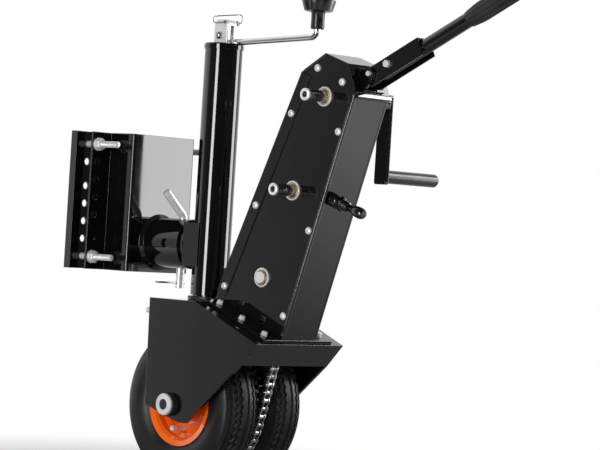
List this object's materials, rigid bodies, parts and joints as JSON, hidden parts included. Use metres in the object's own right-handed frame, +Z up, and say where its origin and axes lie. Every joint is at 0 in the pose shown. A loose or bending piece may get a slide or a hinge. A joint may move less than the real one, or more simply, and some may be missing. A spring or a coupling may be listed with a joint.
{
  "type": "trailer dolly",
  "caption": "Trailer mover: a screw jack clamped to the frame carries a steerable twin wheel, driven by chains from a crank or a drill.",
  "frame": {"origin": "centre of the bracket's clamping holes, on the face that bears on the trailer", "axes": "+X from the trailer towards the steering handle, +Y along the wheels' axle towards the drive crank, +Z up"},
  "size_m": [0.7932, 0.333, 0.7551],
  "materials": {
    "black_paint": "gloss",
    "orange_paint": "gloss",
    "zinc": "satin",
    "chrome": "polished",
    "spring_steel": "satin",
    "machined_steel": "satin",
    "chain_steel": "satin",
    "dark_steel": "satin",
    "brass": "satin",
    "black_plastic": "satin",
    "grip_rubber": "matt",
    "tyre_rubber": "matt"
  },
  "bodies": {
    "bracket": {"tongue_bracket": "black_paint", "clamp_bar_left": "black_paint", "clamp_bar_right": "black_paint", "clamp_bolts": "zinc", "clamp_nuts": "zinc", "swivel_sleeve": "black_paint"},
    "lock_pin": {"locking_pin": "chrome"},
    "clip": {"pin_clip": "spring_steel"},
    "jack": {"swivel_spigot": "black_paint", "swivel_block": "black_paint", "jack_tube": "black_paint", "tube_cap": "black_paint"},
    "jack_crank": {"lift_screw": "machined_steel", "crank_head": "chrome", "crank_pins": "chrome", "crank_rod": "chrome"},
    "jack_knob": {"crank_knob": "black_plastic"},
    "foot": {"inner_tube": "zinc", "lift_nut": "brass", "king_pin": "machined_steel", "king_nut": "zinc"},
    "carriage": {"frame_side_left": "black_paint", "frame_side_right": "black_paint", "frame_top_plate": "black_paint", "frame_bolts": "zinc", "gearbox_side_left": "black_paint", "gearbox_side_right": "black_paint", "gearbox_front_cover": "black_paint", "gearbox_roof": "black_paint", "gearbox_rear_cover": "black_paint", "gearbox_base_flange": "black_paint", "cover_screws": "zinc", "shaft_bushings": "brass", "upper_chain": "chain_steel", "lower_chain": "chain_steel", "drive_chain": "chain_steel", "plunger_boss": "dark_steel", "handle_hinge": "black_paint", "hinge_bolt": "zinc", "axle_housings": "dark_steel"},
    "input": {"input_shaft": "machined_steel", "input_sprocket": "machined_steel", "drive_crank_arm": "dark_steel"},
    "drive_grip": {"drive_crank_grip": "black_plastic"},
    "middle": {"middle_shaft": "machined_steel", "middle_sprockets": "machined_steel", "lock_collar": "machined_steel"},
    "output": {"output_shaft": "machined_steel", "output_sprockets": "machined_steel"},
    "wheels": {"axle": "machined_steel", "axle_rings": "zinc", "wheel_sprocket": "machined_steel", "rims": "orange_paint", "valve_stems": "grip_rubber", "tyres": "tyre_rubber"},
    "plunger": {"plunger_pin": "dark_steel"},
    "handle": {"handle_channel": "black_paint", "socket_bolt": "zinc", "handle_bar": "black_paint", "handle_grip": "grip_rubber"}
  },
  "joints": [
    {"name": "swivel", "type": "hinge", "parent": "bracket", "child": "jack", "pos_m": [0.107, 0, -0.058], "axis": [1, 0, 0], "range_deg": [-0.5, 0.5]},
    {"name": "pin_lift", "type": "slide", "parent": "bracket", "child": "lock_pin", "axis": [0, 0, 1], "range_m": [0, 0.016]},
    {"name": "clip_pull", "type": "slide", "parent": "lock_pin", "child": "clip", "axis": [0, -1, 0], "range_m": [0, 0.055]},
    {"name": "jack_crank_turn", "type": "hinge", "parent": "jack", "child": "jack_crank", "pos_m": [0.172, 0, 0.243], "axis": [0, 0, -1], "range_deg": [0, 22500]},
    {"name": "jack_knob_spin", "type": "hinge", "parent": "jack_crank", "child": "jack_knob", "pos_m": [0.362, 0, 0.278], "axis": [0, 0, 1], "continuous": true},
    {"name": "lift", "type": "slide", "parent": "jack", "child": "foot", "axis": [0, 0, -1], "range_m": [0, 0.25]},
    {"name": "steer", "type": "hinge", "parent": "foot", "child": "carriage", "pos_m": [0.172, 0, -0.14], "axis": [0, 0, 1], "range_deg": [-90, 90]},
    {"name": "input_turn", "type": "hinge", "parent": "carriage", "child": "input", "pos_m": [0.4187, 0, 0.1667], "axis": [0, 1, 0], "continuous": true, "deforming": ["upper_chain", "lower_chain", "drive_chain"]},
    {"name": "drive_grip_spin", "type": "hinge", "parent": "input", "child": "drive_grip", "pos_m": [0.4187, 0.15, 0.0597], "axis": [0, 1, 0], "continuous": true},
    {"name": "middle_turn", "type": "hinge", "parent": "carriage", "child": "middle", "pos_m": [0.3672, 0, 0.0298], "axis": [0, 1, 0], "continuous": true},
    {"name": "output_turn", "type": "hinge", "parent": "carriage", "child": "output", "pos_m": [0.31658, 0, -0.0991], "axis": [0, 1, 0], "continuous": true},
    {"name": "wheels_turn", "type": "hinge", "parent": "carriage", "child": "wheels", "pos_m": [0.197, 0, -0.295], "axis": [0, 1, 0], "continuous": true},
    {"name": "plunger_push", "type": "slide", "parent": "carriage", "child": "plunger", "axis": [0.9527, 0, -0.304], "range_m": [-0.009, 0]},
    {"name": "handle_fold", "type": "hinge", "parent": "carriage", "child": "handle", "pos_m": [0.484, 0, 0.2015], "axis": [0, -1, 0], "range_deg": [-15, 85]}
  ],
  "couplings": [
    {"joint": "lift", "follows": "jack_crank_turn", "m_per_rad": 0.00063662},
    {"joint": "middle_turn", "follows": "input_turn", "ratio": 0.5},
    {"joint": "output_turn", "follows": "input_turn", "ratio": 0.25},
    {"joint": "wheels_turn", "follows": "input_turn", "ratio": 0.088542}
  ]
}
